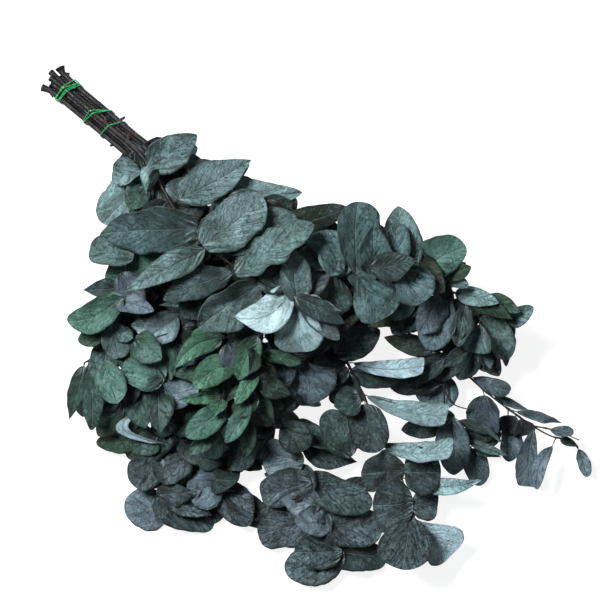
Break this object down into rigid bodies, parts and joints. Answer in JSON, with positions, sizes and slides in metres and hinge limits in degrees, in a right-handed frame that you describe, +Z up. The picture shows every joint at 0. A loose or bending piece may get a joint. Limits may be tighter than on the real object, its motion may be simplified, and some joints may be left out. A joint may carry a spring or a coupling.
{
  "type": "bunch of dried eucalyptus",
  "caption": "Fan of dried eucalyptus stems with rounded grey-green leaves, bound with thin green ties near the cut ends, lying flat.",
  "frame": {"origin": "on the surface that the bunch lies on, under the middle of its box", "axes": "+X along the bunch from the cut ends to the leaf tips, +Y across it, +Z up from the surface"},
  "size_m": [0.6599, 0.4488, 0.1411],
  "materials": {
    "leaf": "dry, matt, grey-green with fine veins",
    "stem": "dark brown bark, slightly ridged",
    "tie": "thin green plastic-covered wire"
  },
  "bodies": {
    "root": {"stem_top": "leaf", "stem_high_right": "leaf", "stem_high_middle": "leaf", "stem_high_left": "leaf", "stem_green": "leaf", "stem_right": "leaf", "stem_middle": "leaf", "stem_left": "leaf", "stem_low_right": "leaf", "stem_low_middle": "leaf", "stem_low": "leaf", "stem_low_left": "leaf", "stem_under": "leaf", "tie_end": "tie", "tie_middle": "tie", "tie_neck": "tie"}
  },
  "joints": []
}
